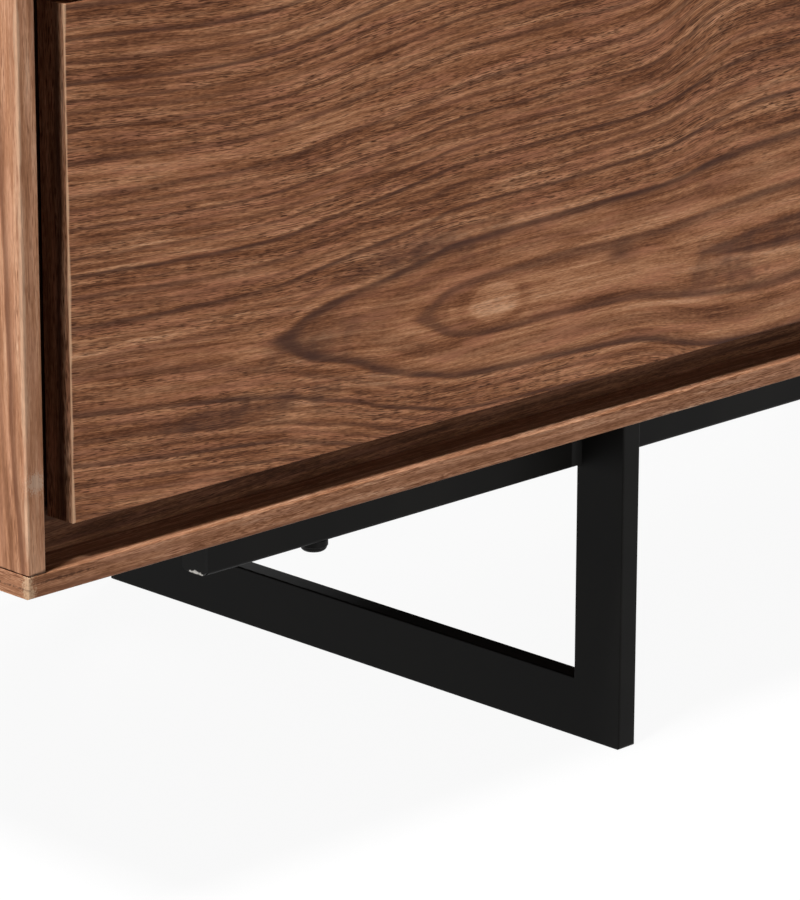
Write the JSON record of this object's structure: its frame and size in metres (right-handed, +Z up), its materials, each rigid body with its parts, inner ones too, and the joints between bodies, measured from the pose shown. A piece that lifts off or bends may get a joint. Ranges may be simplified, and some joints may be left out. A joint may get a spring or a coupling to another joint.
{
  "type": "sideboard",
  "caption": "Low office sideboard in walnut veneer with drawers and doors set in a shadow gap, on a black steel base with loop legs.",
  "frame": {"origin": "on the floor, under the middle of the case", "axes": "+X along the front to the right, +Y from the front to the back, +Z up"},
  "size_m": [1.8, 0.51, 0.76],
  "materials": {
    "walnut_veneer": "satin lacquer",
    "back_board": "satin lacquer",
    "drawer_box_wood": "satin lacquer",
    "packer_wood": "sawn",
    "black_powder_coat": "matt powder coat",
    "black_screws": "black oxide",
    "zinc_plated_steel": "zinc plated",
    "plain_steel": "nickel plated",
    "magnet_steel": "nickel plated",
    "nylon": "moulded",
    "felt": "soft"
  },
  "bodies": {
    "case": {"back_panel": "back_board", "base_screws": "black_screws", "bottom_panel": "walnut_veneer", "centre_divider": "walnut_veneer", "door_magnets": "magnet_steel", "door_pivot_posts": "plain_steel", "drawer_cross_rail": "walnut_veneer", "felt_pads": "felt", "frame_bottom_rail": "walnut_veneer", "frame_left_stile": "walnut_veneer", "frame_right_stile": "walnut_veneer", "frame_top_rail": "walnut_veneer", "front_rail": "black_powder_coat", "left_foot_bar": "black_powder_coat", "left_front_leg": "black_powder_coat", "left_rear_leg": "black_powder_coat", "left_side_panel": "walnut_veneer", "lower_left_runner_cabinet_member": "zinc_plated_steel", "lower_right_runner_cabinet_member": "zinc_plated_steel", "rail_end_plates": "black_powder_coat", "rear_rail": "black_powder_coat", "right_foot_bar": "black_powder_coat", "right_front_leg": "black_powder_coat", "right_rear_leg": "black_powder_coat", "right_side_panel": "walnut_veneer", "runner_packers": "packer_wood", "shelf": "walnut_veneer", "shelf_pins": "plain_steel", "top_panel": "walnut_veneer", "upper_left_runner_cabinet_member": "zinc_plated_steel", "upper_right_runner_cabinet_member": "zinc_plated_steel", "weld_beads": "black_powder_coat"},
    "lower_drawer": {"lower_drawer_back": "drawer_box_wood", "lower_drawer_bottom": "drawer_box_wood", "lower_drawer_front": "walnut_veneer", "lower_drawer_left_side": "drawer_box_wood", "lower_drawer_right_side": "drawer_box_wood", "lower_left_runner_drawer_member": "zinc_plated_steel", "lower_right_runner_drawer_member": "zinc_plated_steel"},
    "lower_runner_middles": {"lower_left_runner_middle_member": "zinc_plated_steel", "lower_right_runner_middle_member": "zinc_plated_steel"},
    "upper_drawer": {"upper_drawer_back": "drawer_box_wood", "upper_drawer_bottom": "drawer_box_wood", "upper_drawer_front": "walnut_veneer", "upper_drawer_left_side": "drawer_box_wood", "upper_drawer_right_side": "drawer_box_wood", "upper_left_runner_drawer_member": "zinc_plated_steel", "upper_right_runner_drawer_member": "zinc_plated_steel"},
    "upper_runner_middles": {"upper_left_runner_middle_member": "zinc_plated_steel", "upper_right_runner_middle_member": "zinc_plated_steel"},
    "left_door": {"left_door_bushes": "nylon", "left_door_panel": "walnut_veneer", "left_door_strike": "plain_steel"},
    "right_door": {"right_door_bushes": "nylon", "right_door_panel": "walnut_veneer", "right_door_strike": "plain_steel"}
  },
  "joints": [
    {"name": "lower_drawer_slide", "type": "slide", "parent": "case", "child": "lower_drawer", "axis": [0, -1, 0], "range_m": [0, 0.42]},
    {"name": "lower_runner_slide", "type": "slide", "parent": "case", "child": "lower_runner_middles", "axis": [0, -1, 0], "range_m": [0, 0.21]},
    {"name": "upper_drawer_slide", "type": "slide", "parent": "case", "child": "upper_drawer", "axis": [0, -1, 0], "range_m": [0, 0.42]},
    {"name": "upper_runner_slide", "type": "slide", "parent": "case", "child": "upper_runner_middles", "axis": [0, -1, 0], "range_m": [0, 0.21]},
    {"name": "left_door_hinge", "type": "hinge", "parent": "case", "child": "left_door", "pos_m": [0.011, -0.245, 0.49], "axis": [0, 0, -1], "range_deg": [0, 90]},
    {"name": "right_door_hinge", "type": "hinge", "parent": "case", "child": "right_door", "pos_m": [0.8555, -0.245, 0.49], "axis": [0, 0, 1], "range_deg": [0, 90]}
  ],
  "couplings": [
    {"joint": "lower_runner_slide", "follows": "lower_drawer_slide", "ratio": 0.5},
    {"joint": "upper_runner_slide", "follows": "upper_drawer_slide", "ratio": 0.5}
  ]
}
